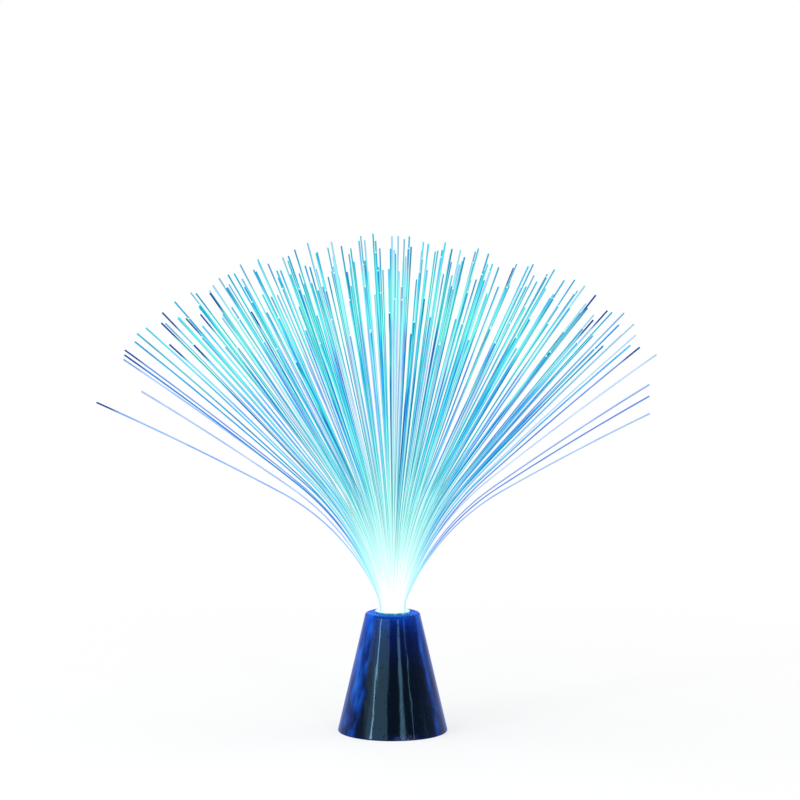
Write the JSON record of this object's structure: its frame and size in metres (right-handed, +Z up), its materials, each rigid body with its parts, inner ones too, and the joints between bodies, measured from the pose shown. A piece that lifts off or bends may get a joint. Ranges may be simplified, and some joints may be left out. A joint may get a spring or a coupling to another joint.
{
  "type": "fiber optic lamp",
  "caption": "Battery-powered table lamp: a fan of light-guiding fibres on a glossy cone base, with a push switch and a hinged battery door underneath.",
  "frame": {"origin": "centre of the rim that the cone base stands on", "axes": "+Z up along the cone's axis, +X to the right and -Y towards the front, as the lamp is seen"},
  "size_m": [0.369, 0.289, 0.3253],
  "materials": {
    "housing": "glossy moulded, deep blue",
    "plate": "moulded, satin, deep blue",
    "door": "moulded, satin, deep blue",
    "button": "moulded, white",
    "switch_parts": "moulded, white",
    "switch_case": "moulded, black",
    "screws": "zinc plated",
    "contacts": "nickel plated",
    "cells": "wrapped can, plain",
    "board": "solder mask, green",
    "led": "clear epoxy",
    "resistor": "lacquered, plain",
    "cup": "moulded, white",
    "collar": "translucent, lit from inside",
    "ferrule": "drawn tube",
    "lead_red": "extruded insulation",
    "lead_black": "extruded insulation",
    "fibre": "clear acrylic light guide"
  },
  "bodies": {
    "root": {"housing_cone": "housing", "base_plate": "plate", "plate_screws": "screws", "battery_cell_1": "cells", "battery_cell_2": "cells", "battery_cell_3": "cells", "contact_springs": "contacts", "contact_bridges": "contacts", "terminal_negative": "contacts", "terminal_positive": "contacts", "switch_body": "switch_case", "switch_spring": "contacts", "switch_pins": "contacts", "led_1": "led", "led_2": "led", "led_3": "led", "led_board": "board", "board_screws": "screws", "resistor": "resistor", "light_cup": "cup", "fibre_collar": "collar", "fibre_ferrule": "ferrule", "lead_positive": "lead_red", "lead_negative": "lead_black", "lead_switch": "lead_red", "fibres_sector_1": "fibre", "fibres_sector_2": "fibre", "fibres_sector_3": "fibre", "fibres_sector_4": "fibre", "fibres_sector_5": "fibre", "fibres_sector_6": "fibre", "fibres_sector_7": "fibre", "fibres_sector_8": "fibre"},
    "door": {"battery_door": "door"},
    "button": {"button_cap": "button", "switch_plunger": "switch_parts"}
  },
  "joints": [
    {"name": "door_hinge", "type": "hinge", "parent": "root", "child": "door", "pos_m": [-0.0275, -0.001, 0.0036], "axis": [0, 1, 0], "range_deg": [0, 95]},
    {"name": "button_press", "type": "slide", "parent": "root", "child": "button", "axis": [0, 0, 1], "range_m": [0, 0.0015], "stiffness_N_per_m": 400, "springref_m": -0.001, "deforming": ["switch_spring"]}
  ]
}
